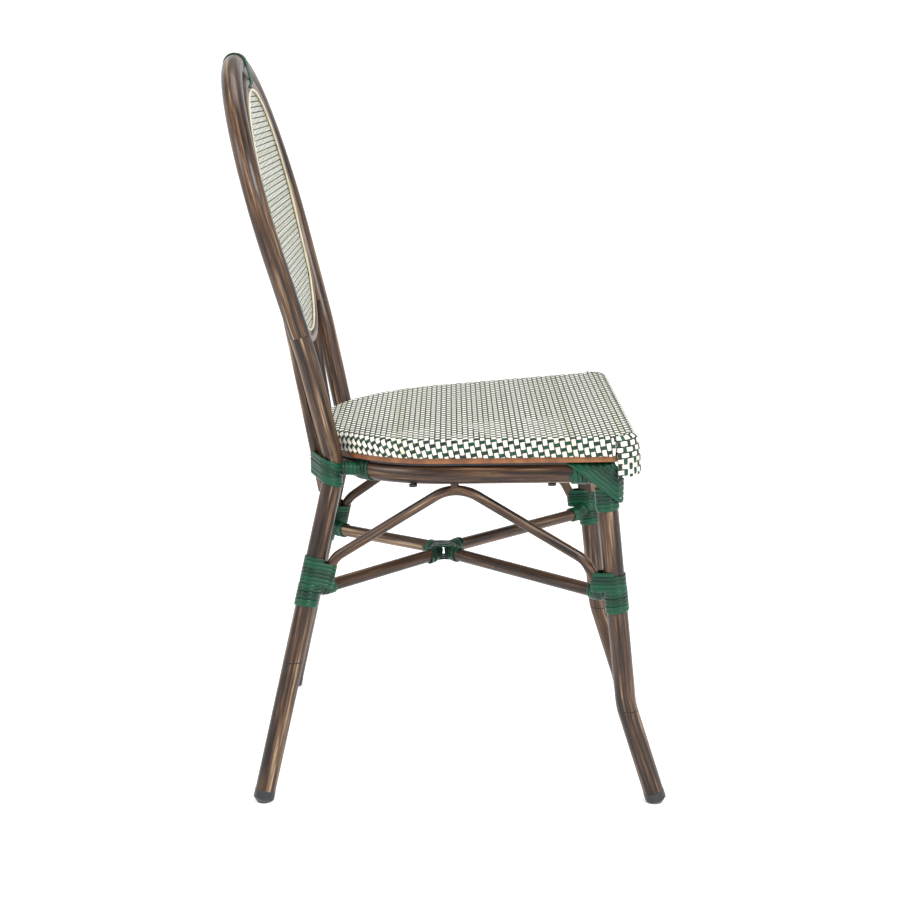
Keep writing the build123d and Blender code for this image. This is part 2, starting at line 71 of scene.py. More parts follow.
def add(tree, kind, inputs=None, **settings):
    """Adds a node. An input is a value or the output socket that feeds it."""
    node = tree.nodes.new(kind)
    for key, value in settings.items():
        setattr(node, key, value)
    for key, value in (inputs or {}).items():
        if isinstance(value, bpy.types.NodeSocket):
            tree.links.new(value, node.inputs[key])
        else:
            node.inputs[key].default_value = value
    return node


def start_material(name, **values):
    """A new material with its shader's own sockets set. Returns it, its tree and its shader."""
    material = bpy.data.materials.new(name)
    material.use_nodes = True
    shader = material.node_tree.nodes["Principled BSDF"]
    for key, value in values.items():
        shader.inputs[key.replace("_", " ")].default_value = value
    return material, material.node_tree, shader


def ramp(tree, factor, stops):
    """A colour ramp from (position, hex colour) stops."""
    node = add(tree, "ShaderNodeValToRGB", {"Fac": factor})
    band = node.color_ramp
    while len(band.elements) < len(stops):
        band.elements.new(0.5)
    for element, (position, hex_code) in zip(band.elements, stops):
        element.position = position
        element.color = linear(hex_code)
    return node.outputs["Color"]


def maths(tree, operation, a, b=0.0):
    return add(tree, "ShaderNodeMath", {0: a, 1: b}, operation=operation).outputs[0]


# %% [markdown]
# ## Bamboo print on aluminium tube
# The real tubes are powder coated, wrapped in a printed film and baked, so the grain runs along
# each tube and follows its bends, under a satin-gloss lacquer. A plain noise pattern would cut
# straight through a bent tube. So the pattern is drawn in the tube's own terms: how far a point is
# from the tube's centre line in two directions, and how far along it lies. A float curve holds the
# centre line of a bent tube, and its value is taken away from the coordinate.

# %% Coordinates that follow a bent tube
def object_axes(tree, mirror=False):
    place = add(tree, "ShaderNodeTexCoord").outputs["Object"]
    axes = list(add(tree, "ShaderNodeSeparateXYZ", {0: place}).outputs)
    if mirror:
        axes[0] = maths(tree, "ABSOLUTE", axes[0])
    return axes


def off_line(tree, axes, along, other, knots):
    """How far a point is from a bent line, measured on one axis, at its place on another axis."""
    knots = sorted(knots, key=lambda p: p[along])
    low, high = knots[0][along], knots[-1][along]
    values = [p[other] for p in knots]
    bottom, top = min(values), max(values)
    if top - bottom < 1e-6:
        return maths(tree, "SUBTRACT", axes[other], bottom)
    share = add(tree, "ShaderNodeMapRange", {0: axes[along], 1: low, 2: high}).outputs[0]
    bend = add(tree, "ShaderNodeFloatCurve", {"Value": share})
    points = bend.mapping.curves[0].points
    while len(points) < len(knots):
        points.new(0.5, 0.5)
    for point, knot in zip(points, knots):
        point.location = ((knot[along] - low) / (high - low), (knot[other] - bottom) / (top - bottom))
        point.handle_type = "VECTOR"
    bend.mapping.update()
    line = add(tree, "ShaderNodeMapRange", {0: bend.outputs[0], 3: bottom, 4: top}).outputs[0]
    return maths(tree, "SUBTRACT", axes[other], line)


def follow_bent_line(along, knots, mirror=False):
    """For a tube that never turns back on one axis: its knots are its corners, in metres."""
    def build(tree):
        axes = object_axes(tree, mirror)
        others = [k for k in range(3) if k != along]
        return [off_line(tree, axes, along, k, knots) for k in others] + [axes[along]]
    return build


def follow_arc(centre, tilt, radius, turn_low, knots):
    """For a hoop or a ring: an arc round a centre in a tilted plane, with straight ends below."""
    def build(tree):
        place = add(tree, "ShaderNodeTexCoord").outputs["Object"]
        turned = add(tree, "ShaderNodeMapping", {
            "Vector": place, "Location": centre, "Rotation": (tilt, 0, 0)}, vector_type="TEXTURE")
        x, y, z = add(tree, "ShaderNodeSeparateXYZ", {0: turned.outputs[0]}).outputs
        reach = maths(tree, "SQRT", maths(tree, "ADD", maths(tree, "MULTIPLY", x, x),
                                          maths(tree, "MULTIPLY", y, y)))
        round_off = maths(tree, "SUBTRACT", reach, radius)
        angle = maths(tree, "ARCTAN2", maths(tree, "ABSOLUTE", x), y)
        side = [maths(tree, "ABSOLUTE", x), y, z]
        straight_off = off_line(tree, side, 1, 0, knots)
        above = maths(tree, "GREATER_THAN", y, turn_low)
        off = add(tree, "ShaderNodeMix", {0: above, 2: straight_off, 3: round_off}).outputs[0]
        joined = radius * acos(turn_low / radius) + turn_low
        run = add(tree, "ShaderNodeMix", {
            0: above, 2: maths(tree, "SUBTRACT", joined, y),
            3: maths(tree, "MULTIPLY", angle, radius)}).outputs[0]
        return [off, z, run]
    return build


# %% The print itself
def bamboo_print(name, follow, seed, marks=()):
    """Streaks about a millimetre wide and several centimetres long, under a clear lacquer."""
    material, tree, shader = start_material(
        name, Roughness=0.36, Coat_Weight=0.15, Coat_Roughness=0.1, IOR=1.38)
    off_a, off_b, along = follow(tree)
    slow = maths(tree, "MULTIPLY", along, 0.045)
    streak = add(tree, "ShaderNodeCombineXYZ", {0: off_a, 1: off_b, 2: slow}).outputs[0]
    fine = add(tree, "ShaderNodeTexNoise", {
        "Vector": streak, "W": seed, "Scale": 260.0, "Detail": 4.0, "Roughness": 0.62},
        noise_dimensions="4D").outputs["Fac"]
    broad = add(tree, "ShaderNodeTexNoise", {
        "Vector": streak, "W": seed + 3.0, "Scale": 95.0, "Detail": 2.0},
        noise_dimensions="4D").outputs["Fac"]
    both = maths(tree, "ADD", maths(tree, "MULTIPLY", fine, 0.6), maths(tree, "MULTIPLY", broad, 0.4))
    colour = ramp(tree, both, [
        (0.38, "0a0502"), (0.44, "1c1008"), (0.485, "352217"), (0.53, "47301d"),
        (0.575, "634a36"), (0.65, "a08a6c")])
    for mark in marks:
        apart = maths(tree, "ABSOLUTE", maths(tree, "SUBTRACT", along, mark * MM))
        ring = maths(tree, "LESS_THAN", apart, 0.0007)
        colour = add(tree, "ShaderNodeMix", {0: ring, 6: colour, 7: linear("17110c")},
                     data_type="RGBA").outputs[2]
    tree.links.new(colour, shader.inputs["Base Color"])
    bump = add(tree, "ShaderNodeBump", {"Height": both, "Strength": 0.25, "Distance": 0.0006})
    tree.links.new(bump.outputs[0], shader.inputs["Normal"])
    return material


def paint(node, material):
    """Gives one material to every slot of a CAD node."""
    mesh = nodes[node].data
    if not mesh.materials:
        mesh.materials.append(material)
    for k in range(len(mesh.materials)):
        mesh.materials[k] = material


HOOP_LEAN = atan(0.275)
INNER_LEAN = atan(0.243)
PANEL_LEAN = atan(0.2327)
SEAT_TILT = radians(3.0)


def plane_matrix(origin, lean):
    """The frame of a plane that leans back: x to the side, y up along it, z towards the sitter."""
    x = Vector((1, 0, 0))
    y = Vector((0, sin(lean), cos(lean)))
    z = x.cross(y)
    turn = Matrix((x, y, z)).transposed().to_4x4()
    return Matrix.Translation(origin) @ turn


for word, side in SIDES:
    rear = [at(side * x, f, z) for x, f, z in (
        (154, -178, 569), (146.7, -170, 540), (130, -150.5, 448), (124, -143.5, 420),
        (125.7, -143, 385), (203.5, -229.2, 0))]
    front = [at(side * x, f, z) for x, f, z in (
        (204.5, 181.6, 410), (203.5, 211.5, 139), (203.5, 217.5, 111), (203.5, 253.4, 0))]
    brace = [at(side * x, f, z) for x, f, z in (
        (153.7, -150.0, 263), (149.5, -146.2, 285), (152.0, -130, 301), (168.5, -22.6, 372.8),
        (174.6, 7.3, 386), (181.3, 40, 375.4), (201, 148, 314), (203.6, 168, 292),
        (203.8, 176.5, 276))]
    paint(f"rear_leg_{word}", bamboo_print(
        f"bamboo_print_rear_leg_{word}", follow_bent_line(2, rear), 5 + side, marks=(169.6, 568.6)))
    paint(f"front_leg_{word}", bamboo_print(
        f"bamboo_print_front_leg_{word}", follow_bent_line(2, front), 8 + side, marks=(119.8,)))
    paint(f"side_brace_{word}", bamboo_print(
        f"bamboo_print_brace_{word}", follow_bent_line(1, brace), 11 + side))

rear_bow = [at(0, -17.3, 261), at(22, -25.8, 260.6), at(152.4, -173, 252)]
front_bow = [at(0, 1.0, 262), at(22, 9.3, 262), at(204, 198, 262)]
paint("rear_bow", bamboo_print("bamboo_print_rear_bow", follow_bent_line(0, rear_bow, True), 21))
paint("front_bow", bamboo_print(
    "bamboo_print_front_bow", follow_bent_line(0, front_bow, True), 24, marks=(80.0,)))


def tapered_knots(radius, taper, low):
    """Where the straight side of a hoop starts and ends, in its own plane."""
    t = radians(taper)
    x, y = radius * cos(t), -radius * sin(t)
    return [(x * MM, y * MM, 0), ((x - (y + low) * tan(t)) * MM, -low * MM, 0)], y * MM


knots, turn_low = tapered_knots(183.0, 13.7, 160.0)
paint("back_hoop", bamboo_print("bamboo_print_hoop", follow_arc(
    at(0, -215.4, 705), pi / 2 - HOOP_LEAN, 183 * MM, turn_low, knots), 31))
knots, turn_low = tapered_knots(157.0, 9.4, 360.0)
paint("inner_hoop", bamboo_print("bamboo_print_inner_hoop", follow_arc(
    at(0, -215, 708), pi / 2 - INNER_LEAN, 157 * MM, turn_low, knots), 33))
rail_knots = [at(x, -214 + 0.2327 * 165 - 0.2327 * rise, 543 + rise) for x, rise in (
    (0, 0), (30, 2.6), (60, 10.2), (90, 23.8), (120, 45.5), (143, 72))]
paint("back_bottom_rail", bamboo_print(
    "bamboo_print_rail", follow_bent_line(0, rail_knots, True), 35))
ring_r = 190.6 - 16.4
ring_turn = ring_r * sin(radians(10)) * MM
ring_knots = [(ring_r * cos(radians(10)) * MM, ring_turn, 0),
              ((ring_r * cos(radians(10)) + 230 * tan(radians(10))) * MM, ring_turn - 0.23, 0)]
paint("seat_ring", bamboo_print("bamboo_print_ring", follow_arc(
    at(0, 22.6, 405.5 + 1.2), -SEAT_TILT, ring_r * MM, ring_turn, ring_knots), 37))
paint("brace_welds", bamboo_print(
    "bamboo_print_welds", follow_bent_line(2, [at(0, 5, 380), at(0, 5, 400)]), 39))
print("bamboo print on the tubes")

# %% [markdown]
# ## Finishes for the other pieces
# The cord and the strands are extruded polyethylene, glossy with a soft edge to the highlight. The
# cap under each foot is black moulded plastic, and the base strip under the seat is brown moulded
# plastic with a matt skin.

# %% Plastics and metal
def moulded(name, stops, roughness, grain_mm, strength, coat=0.0):
    """A moulded or extruded plastic: one colour that drifts slightly, with a fine skin."""
    material, tree, shader = start_material(
        name, Roughness=roughness, IOR=1.51, Coat_Weight=coat, Coat_Roughness=0.2)
    place = add(tree, "ShaderNodeTexCoord").outputs["Object"]
    drift = add(tree, "ShaderNodeTexNoise", {"Vector": place, "Scale": 60.0, "Detail": 3.0})
    tree.links.new(ramp(tree, drift.outputs["Fac"], stops), shader.inputs["Base Color"])
    skin = add(tree, "ShaderNodeTexNoise", {
        "Vector": place, "Scale": 1.0 / (grain_mm * MM), "Detail": 2.0})
    bump = add(tree, "ShaderNodeBump", {
        "Height": skin.outputs["Fac"], "Strength": strength, "Distance": 0.0003})
    tree.links.new(bump.outputs[0], shader.inputs["Normal"])
    return material


def strand(name, stops, roughness, coat=0.25, ior=1.5):
    """An extruded strand: its tone is an attribute, its fine ridges follow its own length."""
    material, tree, shader = start_material(
        name, Roughness=roughness, IOR=ior, Coat_Weight=coat, Coat_Roughness=0.2)
    tone = add(tree, "ShaderNodeAttribute", attribute_name="tone").outputs["Fac"]
    place = add(tree, "ShaderNodeTexCoord").outputs["Object"]
    drift = add(tree, "ShaderNodeTexNoise", {"Vector": place, "Scale": 90.0, "Detail": 3.0})
    mix = maths(tree, "ADD", maths(tree, "MULTIPLY", tone, 0.7),
                maths(tree, "MULTIPLY", drift.outputs["Fac"], 0.3))
    tree.links.new(ramp(tree, mix, stops), shader.inputs["Base Color"])
    ridge = add(tree, "ShaderNodeAttribute", attribute_name="ridge").outputs["Fac"]
    wave = maths(tree, "SINE", maths(tree, "MULTIPLY", ridge, 2 * pi))
    bump = add(tree, "ShaderNodeBump", {"Height": wave, "Strength": 0.22, "Distance": 0.0002})
    tree.links.new(bump.outputs[0], shader.inputs["Normal"])
    return material


GREEN = [(0.25, "022718"), (0.5, "033825"), (0.75, "04462f")]
cream_strand = strand("extruded_polyethylene_cream", [
    (0.1, "d4cdb2"), (0.25, "e0dbc8"), (0.45, "e9e6d9"), (0.8, "e5e1d2")], 0.4)
green_strand = strand("extruded_polyethylene_green", [
    (0.2, "022218"), (0.5, "033124"), (0.8, "073c2c")], 0.38, 0.08, 1.4)
green_cord = strand("flat_cord_green", GREEN, 0.36, 0.06, 1.36)
green_skin = moulded("cord_underlay_green", [(0.3, "02150d"), (0.7, "042015")], 0.5, 1.2, 0.2)
black_plastic = moulded(
    "moulded_polypropylene_black", [(0.4, "17191c"), (0.6, "23262a")], 0.42, 0.5, 0.12)
brown_strip = moulded("moulded_strip_brown", [(0.35, "6e3f1d"), (0.65, "8c5a30")], 0.5, 0.8, 0.25)
cream_welt = moulded("extruded_welt_cream", [(0.35, "bdb698"), (0.65, "cfc9b2")], 0.42, 0.7, 0.15, 0.2)


def bare_metal(name, hex_code, roughness):
    material, tree, shader = start_material(name, Metallic=1.0, Roughness=roughness)
    place = add(tree, "ShaderNodeTexCoord").outputs["Object"]
    scuff = add(tree, "ShaderNodeTexNoise", {"Vector": place, "Scale": 700.0, "Detail": 3.0})
    level = add(tree, "ShaderNodeMapRange", {
        0: scuff.outputs["Fac"], 3: roughness - 0.08, 4: roughness + 0.12}).outputs[0]
    tree.links.new(level, shader.inputs["Roughness"])
    tone = ramp(tree, scuff.outputs["Fac"], [(0.3, hex_code), (0.7, "c9cac9")])
    tree.links.new(tone, shader.inputs["Base Color"])
    return material


mill_aluminium = bare_metal("mill_aluminium", "a9abad", 0.38)
black_screw = moulded("blackened_steel", [(0.4, "1c1a18"), (0.6, "2b2825")], 0.45, 0.4, 0.15)
for name in ("seat_gasket", "rear_foot_right", "rear_foot_left", "front_foot_right", "front_foot_left"):
    paint(name, black_plastic)
for name in ("seat_frame", "seat_cross_bars", "knee_spacers", "hoop_spigot_right",
             "hoop_spigot_left"):
    paint(name, mill_aluminium)
paint("seat_screws", black_screw)
paint("seat_rim", brown_strip)
paint("back_welt", cream_welt)
for name in [n for n in nodes if "binding" in n or n == "hoop_tie"]:
    paint(name, green_skin)
paint("seat_weave", cream_welt)
paint("back_weave", cream_welt)
print(len(bpy.data.materials), "materials")

# %% [markdown]
# ## A plain weave from real strands
# Wide cream strands run from side to side and narrow green ones from front to back. Each passes
# over one neighbour and under the next. A strand is a strip of grid whose columns are wrapped into
# a flat tube, and whose rows come in pairs: one pair lies flat over each crossing, and the strand
# climbs or dives between pairs. All strands are made flat first, with their place in the weave
# written in plain numbers, and then the flat cloth is laid on the chair.

# %% Strands in flat cloth
CREAM_PITCH, CREAM_WIDTH = 6.6, 5.2
GREEN_PITCH, GREEN_WIDTH = 6.7, 4.4
LIFT = 0.55                       # how far a strand's middle rises over a crossing
CREAM_SECTION = [(0.0, -0.35), (-0.5, -0.1), (-0.42, 0.33), (-0.05, 0.36), (0.0, 0.12),
                 (0.05, 0.36), (0.42, 0.33), (0.5, -0.1), (0.0, -0.35)]
GREEN_SECTION = [(0.0, -0.35), (-0.5, -0.05), (-0.36, 0.32), (0.36, 0.32), (0.5, -0.05), (0.0, -0.35)]


def read_points(mesh):
    values = np.zeros(len(mesh.vertices) * 3, np.float32)
    mesh.vertices.foreach_get("co", values)
    return values.reshape(-1, 3).astype(float)


def flat_strands(name, count, crossings, pitch, width, step, section, over_first):
    """Strands side by side. Returns the mesh and each point's place along, across and above."""
    bm = bmesh.new()
    for i in range(count):
        bmesh.ops.create_grid(bm, x_segments=2 * crossings - 1, y_segments=len(section) - 1,
                              size=0.5, matrix=Matrix.Translation((0, 0, i)))
    mesh = bpy.data.meshes.new(name)
    bm.to_mesh(mesh)
    bm.free()
    raw = read_points(mesh)
    assert len(raw) == count * 2 * crossings * len(section), (len(raw), count, crossings)
    row = np.rint((raw[:, 0] + 0.5) * (2 * crossings - 1)).astype(int)
    column = np.rint((raw[:, 1] + 0.5) * (len(section) - 1)).astype(int)
    line = np.rint(raw[:, 2]).astype(int)
    crossing = row // 2
    shape = np.array(section)
    along = (crossing - (crossings - 1) / 2) * step + (row % 2 - 0.5) * 0.52 * step
    across = (line - (count - 1) / 2) * pitch + shape[column, 0] * width
    rise = np.where((line + crossing + over_first) % 2 == 0, LIFT, -LIFT)
    above = rise + shape[column, 1]
    tone = np.random.default_rng(7 + count).random(count)[line]
    return mesh, along, across, above, tone, shape[column, 0] * width / 0.9


def finish_strands(mesh, points, spare, tone, ridge, material):
    """Writes the laid points, trims what hangs over the edge, and closes each strand."""
    for word, values in (("tone", tone), ("ridge", ridge)):
        layer = mesh.attributes.new(word, "FLOAT", "POINT")
        layer.data.foreach_set("value", values.astype(np.float32))
    mesh.vertices.foreach_set("co", (points * MM).astype(np.float32).ravel())
    bm = bmesh.new()
    bm.from_mesh(mesh)
    bm.verts.ensure_lookup_table()
    bmesh.ops.delete(bm, geom=[bm.verts[k] for k in np.flatnonzero(spare)], context="VERTS")
    bmesh.ops.remove_doubles(bm, verts=bm.verts, dist=0.00002)
    loose = [e for e in bm.edges if not e.link_faces]
    bmesh.ops.delete(bm, geom=loose, context="EDGES")
    loose = [v for v in bm.verts if not v.link_faces]
    bmesh.ops.delete(bm, geom=loose, context="VERTS")
    bmesh.ops.holes_fill(bm, edges=[e for e in bm.edges if e.is_boundary], sides=0)
    bmesh.ops.recalc_face_normals(bm, faces=bm.faces)
    for face in bm.faces:
        face.smooth = True
    bm.to_mesh(mesh)
    bm.free()
    mesh.materials.append(material)
    piece = bpy.data.objects.new(mesh.name, mesh)
    bpy.context.scene.collection.objects.link(piece)
    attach(piece, "root")
    print(mesh.name, len(mesh.polygons), "faces")
    return piece


# %% [markdown]
# ## The seat cloth
# The cloth lies flat on top and folds down over a rounded edge. Where a flat point lies beyond the
# edge, it keeps its distance from the line where the fold starts, measured round the fold and down
# the wall. So strands that meet the rounded back edge at a slant go down the wall at that slant.
# Over the front the cloth hangs deeper and wraps back round both corners.

# %% Fold the seat cloth over its edge
CORE = 30.0                        # the outline is this far outside a sharp-cornered core
FOLD = 8.5                         # radius of the rounded top edge
TOP, LOW_BAND, LOW_APRON = 44.5 - 1.1, 21.9, -3.5
arc_r = 190.6 - CORE
side_turn = radians(10)
arc_end = np.array([arc_r * cos(side_turn), -22.6 + arc_r * sin(side_turn)])
front_y = -222.0 + CORE
corner = np.array([arc_end[0] + (arc_end[1] - front_y) * tan(side_turn), front_y])
FLAT = CORE - 1.1 - FOLD           # distance from the core at which the fold starts
QUARTER = FOLD * pi / 2
HANG_START = FLAT + 1.5            # where the front flap takes over from the seat cloth
SLACK = 4.5                        # cloth this far past an edge is kept, then drawn in to it
FLAP_WRAP = 84.0                   # degrees that the flap turns round each front corner
PROUD, PROUD_LOW, PROUD_RUN = 1.3, 2.4, 12.0   # how far the flap stands out, and where it grows


def nearest_on_core(p):
    """The nearest point of the core to flat points outside it, and the way out from it."""
    mirror = np.where(p[:, 0] < 0, -1.0, 1.0)
    q = np.abs(p[:, 0]), p[:, 1]
    angle = np.clip(np.arctan2(q[1] + 22.6, q[0]), side_turn, pi / 2)
    arc = np.stack([arc_r * np.cos(angle), -22.6 + arc_r * np.sin(angle)], 1)
    run = arc_end - corner
    share = ((q[0] - corner[0]) * run[0] + (q[1] - corner[1]) * run[1]) / run.dot(run)
    side = corner + np.clip(share, 0, 1)[:, None] * run
    front = np.stack([np.minimum(q[0], corner[0]), np.full(len(q[0]), front_y)], 1)
    flat = np.stack(q, 1)
    choices = np.stack([arc, side, front])
    gaps = np.linalg.norm(choices - flat, axis=2)
    best = choices[gaps.argmin(0), np.arange(len(flat))]
    inside = (share > 0) & (q[1] > front_y) & (
        np.where(q[1] > arc_end[1], np.hypot(q[0], q[1] + 22.6) < arc_r,
                 (q[0] - corner[0]) * -run[1] + (q[1] - corner[1]) * run[0] > 0))
    inside |= (np.abs(q[0]) < 60) & (q[1] > front_y) & (q[1] < 60)
    out = flat - best
    gap = np.linalg.norm(out, axis=1)
    out = out / np.maximum(gap, 1e-9)[:, None]
    best[:, 0] *= mirror
    out[:, 0] *= mirror
    return best, out, np.where(inside, 0.0, gap), inside


def fold_profile(t, above):
    """Distance out from the core and height, for a distance along the folded cloth."""
    turn = np.clip((t - FLAT) / FOLD, 0, pi / 2)
    reach = np.where(t < FLAT, t, FLAT + FOLD * np.sin(turn))
    height = TOP - FOLD * (1 - np.cos(turn)) - np.maximum(t - FLAT - QUARTER, 0)
    return reach + above * np.sin(turn), height + above * np.cos(turn)


def limit_for(low):
    return FLAT + QUARTER + (TOP - FOLD - low)


def to_chair(x, y, z):
    """From the tilted seat's own millimetres to the chair's."""
    a = SEAT_TILT
    return np.stack([x, -DATUM + y * cos(a) + z * sin(a), 405.5 - y * sin(a) + z * cos(a)], 1)


def lay_seat(x, y, above):
    """The top and the band round the sides and back."""
    flat = np.stack([x, y], 1)
    base, out, t, inside = nearest_on_core(flat)
    wraps = ~inside & (out[:, 1] < -0.08)
    limit = np.where(wraps, HANG_START, limit_for(LOW_BAND))
    spare = ~inside & (t > limit + SLACK)
    t = np.minimum(t, limit)
    reach, height = fold_profile(t, above)
    px = np.where(inside, x, base[:, 0] + out[:, 0] * reach)
    py = np.where(inside, y, base[:, 1] + out[:, 1] * reach)
    return to_chair(px, py, np.where(inside, TOP + above, height)), spare


def lay_apron(x, y, above, low):
    """The front flap: across the front, and round each corner onto the side."""
    t = front_y - y
    least, most = HANG_START, limit_for(low)
    wrap = FLAP_WRAP / 180 * pi * CORE
    spare = (t < least - SLACK) | (t > most + SLACK) | (np.abs(x) > corner[0] + wrap + SLACK)
    t = np.clip(t, least, most)
    x = np.clip(x, -corner[0] - wrap, corner[0] + wrap)
    turn = np.maximum(np.abs(x) - corner[0], 0) / CORE
    proud = PROUD + PROUD_LOW * np.clip((t - FLAT - QUARTER) / PROUD_RUN, 0, 1)
    reach, height = fold_profile(t, above + proud)
    px = np.clip(x, -corner[0], corner[0]) + np.sign(x) * np.sin(turn) * reach
    py = front_y - np.cos(turn) * reach
    return to_chair(px, py, height), spare


def make_cloth(name, lay, rows, columns, centre, materials):
    """Both sets of strands of one cloth, laid by a function of place across, along and above."""
    made = []
    mesh, u, v, h, tone, ridge = flat_strands(
        name + "_cream", rows, columns, CREAM_PITCH, CREAM_WIDTH, GREEN_PITCH, CREAM_SECTION, 0)
    points, spare = lay(u + centre[0], v + centre[1], h)
    made.append(finish_strands(mesh, points, spare, tone, ridge, materials[0]))
    mesh, v, u, h, tone, ridge = flat_strands(
        name + "_green", columns, rows, GREEN_PITCH, GREEN_WIDTH, CREAM_PITCH, GREEN_SECTION, 1)
    points, spare = lay(u + centre[0], v + centre[1], h)
    made.append(finish_strands(mesh, points, spare, tone, ridge, materials[1]))
    return made


STRANDS = (cream_strand, green_strand)
seat_cloth = make_cloth("seat_weave", lay_seat, 67, 75, (0, -27), STRANDS)
apron = make_cloth("seat_apron", lambda x, y, h: lay_apron(x, y, h, LOW_APRON), 13, 75,
                   (0, -27 - 30 * CREAM_PITCH - 3 * CREAM_PITCH), STRANDS)
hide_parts("seat_weave")

# %% [markdown]
# ## The back cloth
# The same weave in a flat panel. Its outline is read from the CAD panel, as the reach from the
# panel's centre at every angle, and each strand ends at that outline.

# %% Weave the back panel
panel = plane_matrix(at(0, -214, 708), PANEL_LEAN)
flat_panel = read_points(nodes["back_weave"].data) @ np.array(panel.inverted().to_3x3()).T
flat_panel += np.array(panel.inverted().translation)
angles = np.arctan2(flat_panel[:, 1], flat_panel[:, 0])
order = np.argsort(angles)
rim_angle, rim_reach = angles[order], np.hypot(flat_panel[:, 0], flat_panel[:, 1])[order] / MM
rim_angle = np.concatenate([rim_angle - 2 * pi, rim_angle, rim_angle + 2 * pi])
rim_reach = np.tile(rim_reach, 3)


def lay_back(x, y, above):
    angle, reach = np.arctan2(y, x), np.hypot(x, y)
    edge = np.interp(angle, rim_angle, rim_reach) - 0.4
    spare = reach > edge + 5.0
    shrink = np.minimum(1.0, edge / np.maximum(reach, 1e-6))
    local = np.stack([x * shrink, y * shrink, above], 1) * MM
    world = local @ np.array(panel.to_3x3()).T + np.array(panel.translation)
    return world / MM, spare


back_cloth = make_cloth("back_weave", lay_back, 51, 47, (0, -10), STRANDS)
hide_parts("back_weave")
print("back outline reach", rim_reach.min(), rim_reach.max())

# %% [markdown]
# ## Flat cord round the joints
# Every joint is bound with one flat cord, about five millimetres wide, wound tight. A run of cord is
# a strip of grid again: its columns wrap into a flat, slightly crowned section, and its rows follow
# a path. Three kinds of path cover the chair: turns round one tube, turns round two tubes at once,
# and single diagonal runs laid over a corner.

# %% Lay a flat cord along paths
CORD_SECTION = [(0.0, -0.5), (-0.46, -0.5), (-0.5, 0.0), (-0.34, 0.42), (0.0, 0.5),
                (0.34, 0.42), (0.5, 0.0), (0.46, -0.5), (0.0, -0.5)]
CORD_WIDTH, CORD_THICK, CORD_PITCH = 5.2, 1.6, 4.75
END_GAP = CORD_WIDTH * 0.3         # the first and last turn start this far in from the ends
CORD_LIFT = CORD_THICK * 0.55      # the cord's middle lies this far off the tube


def lay_cord(name, runs, node):
    """One piece from several runs, in place of a CAD node. A run is points in mm and ways out."""
    bm = bmesh.new()
    columns = len(CORD_SECTION)
    for k, (line, out) in enumerate(runs):
        bmesh.ops.create_grid(bm, x_segments=len(line) - 1, y_segments=columns - 1, size=0.5,
                              matrix=Matrix.Translation((0, 0, k)))
    mesh = bpy.data.meshes.new(name)
    bm.to_mesh(mesh)
    bm.free()
    raw = read_points(mesh)
    points, tone, ridge = np.zeros_like(raw), np.zeros(len(raw)), np.zeros(len(raw))
    section = np.array(CORD_SECTION)
    for k, (line, out) in enumerate(runs):
        mine = np.flatnonzero(np.rint(raw[:, 2]) == k)
        row = np.rint((raw[mine, 0] + 0.5) * (len(line) - 1)).astype(int)
        column = np.rint((raw[mine, 1] + 0.5) * (columns - 1)).astype(int)
        along = np.gradient(line, axis=0)
        along /= np.linalg.norm(along, axis=1)[:, None]
        up = out - (out * along).sum(1)[:, None] * along
        up /= np.linalg.norm(up, axis=1)[:, None]
        across = np.cross(along, up)
        points[mine] = (line[row] + across[row] * (section[column, :1] * CORD_WIDTH)
                        + up[row] * (section[column, 1:] * CORD_THICK))
        tone[mine] = 0.5 + 0.3 * np.sin(row * 0.045 + k)
        ridge[mine] = section[column, 0] * CORD_WIDTH / 1.3
    nothing = np.zeros(len(raw), bool)
    piece = finish_strands(mesh, points, nothing, tone, ridge, green_cord)
    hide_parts(node)


def wind(path, radius, pitch=CORD_PITCH, start=0.0, wobble=0.0):
    """Turns round a tube that follows a path of points."""
    path = np.array([tuple(p) for p in path], float)
    leg = np.linalg.norm(np.diff(path, axis=0), axis=1)
    place = np.concatenate([[0], np.cumsum(leg)])
    turns = (place[-1] - 2 * END_GAP) / pitch
    count = int(turns * 26) + 1
    s = np.linspace(END_GAP, place[-1] - END_GAP, count)
    centre = np.stack([np.interp(s, place, path[:, k]) for k in range(3)], 1)
    along = np.gradient(centre, axis=0)
    along /= np.linalg.norm(along, axis=1)[:, None]
    guide = np.array([0.0, 0.0, 1.0]) if abs(along[0][2]) < 0.8 else np.array([1.0, 0.0, 0.0])
    a = np.cross(along, guide)
    a /= np.linalg.norm(a, axis=1)[:, None]
    b = np.cross(along, a)
    phi = start + 2 * pi * (s - s[0]) / pitch
    out = np.cos(phi)[:, None] * a + np.sin(phi)[:, None] * b
    lean = wobble * np.sin(phi * 0.5 + 1.0)
    return centre + out * (radius + CORD_LIFT) + along * lean[:, None], out


